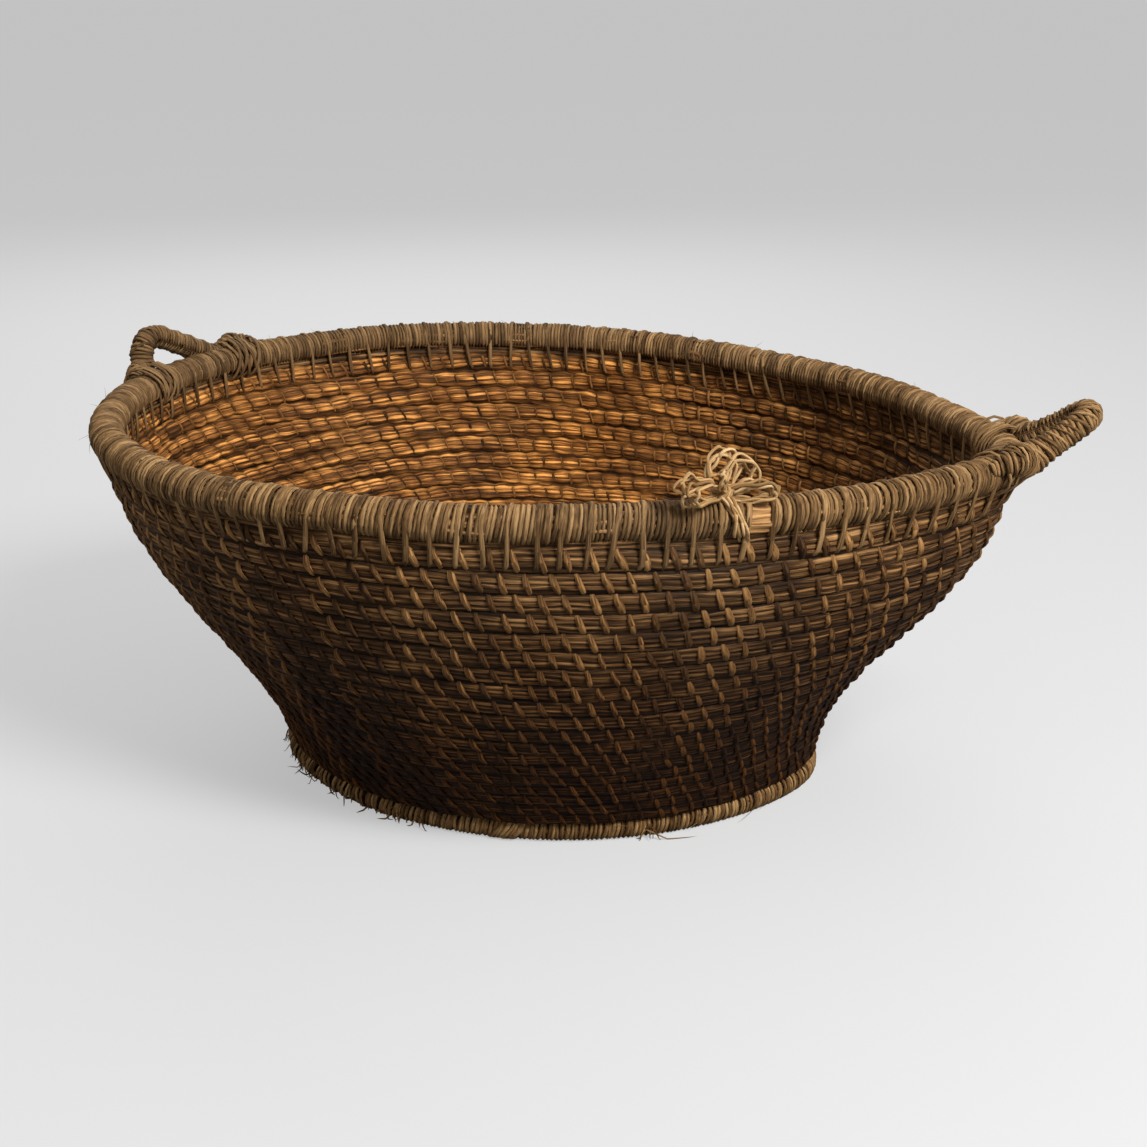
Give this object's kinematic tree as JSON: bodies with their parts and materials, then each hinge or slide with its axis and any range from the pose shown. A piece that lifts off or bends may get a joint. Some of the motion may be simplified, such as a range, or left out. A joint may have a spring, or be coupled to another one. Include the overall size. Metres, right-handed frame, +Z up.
{
  "type": "winnowing basket",
  "caption": "Deep coiled straw basket with a blunt and a narrow end, a wrapped rim and foot ring, a lashed loop handle at each end and a knotted tie on the rim",
  "frame": {"origin": "Centre of the underside of the bounding box, on the surface that the foot ring stands on", "axes": "+Z up; +X towards the narrow end with the leaning loop handle; the knotted tie is on the rim at the front, towards -Y"},
  "size_m": [0.6283, 0.4676, 0.2518],
  "materials": {
    "straw_bundle": "dry brown straw bundle, matt, fibrous",
    "stitch_strand": "flat split strand, dry, slightly paler than the bundle",
    "wrap_strand": "greyed, worn strand wrapping",
    "pale_bast": "pale golden bast fibre"
  },
  "bodies": {
    "root": {"foot_ring": "straw_bundle", "foot_wrap_front": "stitch_strand", "foot_wrap_right": "stitch_strand", "foot_wrap_back": "stitch_strand", "foot_wrap_left": "stitch_strand", "base_coils": "straw_bundle", "base_stitches": "stitch_strand", "course_01": "straw_bundle", "course_02": "straw_bundle", "course_03": "straw_bundle", "course_04": "straw_bundle", "course_05": "straw_bundle", "course_06": "straw_bundle", "course_07": "straw_bundle", "course_08": "straw_bundle", "course_09": "straw_bundle", "course_10": "straw_bundle", "course_11": "straw_bundle", "course_12": "straw_bundle", "course_13": "straw_bundle", "course_14": "straw_bundle", "course_15": "straw_bundle", "course_16": "straw_bundle", "course_17": "straw_bundle", "course_18": "straw_bundle", "course_19": "straw_bundle", "stitches_01": "stitch_strand", "stitches_02": "stitch_strand", "stitches_03": "stitch_strand", "stitches_04": "stitch_strand", "stitches_05": "stitch_strand", "stitches_06": "stitch_strand", "stitches_07": "stitch_strand", "stitches_08": "stitch_strand", "stitches_09": "stitch_strand", "stitches_10": "stitch_strand", "stitches_11": "stitch_strand", "stitches_12": "stitch_strand", "stitches_13": "stitch_strand", "stitches_14": "stitch_strand", "stitches_15": "stitch_strand", "stitches_16": "stitch_strand", "stitches_17": "stitch_strand", "stitches_18": "stitch_strand", "stitches_19": "stitch_strand", "rim_core": "straw_bundle", "rim_wrap_front": "wrap_strand", "rim_wrap_right": "wrap_strand", "rim_wrap_back": "wrap_strand", "rim_wrap_left": "wrap_strand", "rim_stitches": "wrap_strand", "handle_left_core": "straw_bundle", "handle_left_wrap": "wrap_strand", "handle_left_lashing": "wrap_strand", "handle_right_core": "straw_bundle", "handle_right_wrap": "wrap_strand", "handle_right_lashing": "wrap_strand", "tie_band": "pale_bast", "tie_loops": "pale_bast"}
  },
  "joints": []
}
